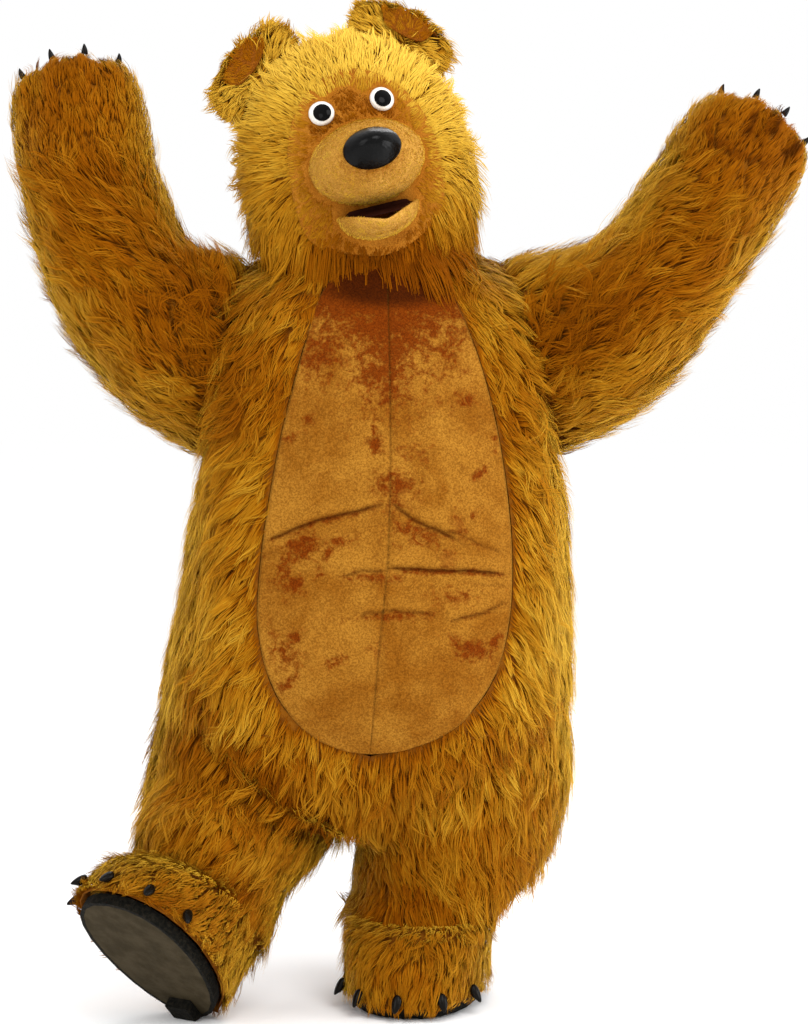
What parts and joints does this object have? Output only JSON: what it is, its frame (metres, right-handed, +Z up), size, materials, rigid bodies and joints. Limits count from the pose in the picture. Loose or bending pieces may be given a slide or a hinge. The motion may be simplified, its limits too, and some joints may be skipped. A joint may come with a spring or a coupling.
{
  "type": "bear mascot costume",
  "caption": "Full-body plush bear costume with a hollow head, mitts and padded boots, posed with both arms raised and the right heel forward.",
  "frame": {"origin": "the hold point between the wearer's shoulders, 1.50 m above the floor the costume stands over", "axes": "+X to the wearer's left, +Y to the wearer's back, +Z up"},
  "size_m": [1.6126, 0.8025, 2.0502],
  "materials": {
    "golden_fur": "long-pile faux fur, golden brown",
    "belly_plush": "crushed short-pile plush, caramel",
    "mask_plush": "short-pile plush, chestnut",
    "pale_plush": "short-pile plush over foam, honey",
    "ear_plush": "short-pile plush, brown",
    "sole_suede": "suede cloth, dark taupe",
    "black_binding": "rough black rubber edging",
    "black_gloss": "moulded gloss black",
    "mouth_dark": "dark felt",
    "eye_white": "moulded gloss white"
  },
  "bodies": {
    "root": {"back_left": "golden_fur", "back_right": "golden_fur", "belly_left": "belly_plush", "belly_right": "belly_plush", "boot_upper_left": "golden_fur", "boot_upper_right": "golden_fur", "ear_left": "golden_fur", "ear_pad_left": "ear_plush", "ear_pad_right": "ear_plush", "ear_right": "golden_fur", "eye_left": "eye_white", "eye_right": "eye_white", "face_patch": "mask_plush", "foot_claw_left_1": "black_gloss", "foot_claw_left_2": "black_gloss", "foot_claw_left_3": "black_gloss", "foot_claw_left_4": "black_gloss", "foot_claw_left_5": "black_gloss", "foot_claw_right_1": "black_gloss", "foot_claw_right_2": "black_gloss", "foot_claw_right_3": "black_gloss", "foot_claw_right_4": "black_gloss", "foot_claw_right_5": "black_gloss", "front_left": "golden_fur", "front_right": "golden_fur", "hand_claw_left_1": "black_gloss", "hand_claw_left_2": "black_gloss", "hand_claw_left_3": "black_gloss", "hand_claw_left_4": "black_gloss", "hand_claw_right_1": "black_gloss", "hand_claw_right_2": "black_gloss", "hand_claw_right_3": "black_gloss", "hand_claw_right_4": "black_gloss", "head_left": "golden_fur", "head_right": "golden_fur", "heel_block_left": "black_binding", "heel_block_right": "black_binding", "leg_left": "golden_fur", "leg_right": "golden_fur", "lower_jaw": "pale_plush", "mitt_back_left": "golden_fur", "mitt_back_right": "golden_fur", "mitt_front_left": "golden_fur", "mitt_front_right": "golden_fur", "mouth_lining": "mouth_dark", "muzzle": "pale_plush", "nose": "black_gloss", "pupil_left": "black_gloss", "pupil_right": "black_gloss", "sleeve_left": "golden_fur", "sleeve_right": "golden_fur", "sole_binding_left": "black_binding", "sole_binding_right": "black_binding", "sole_left": "sole_suede", "sole_right": "sole_suede"}
  },
  "joints": []
}
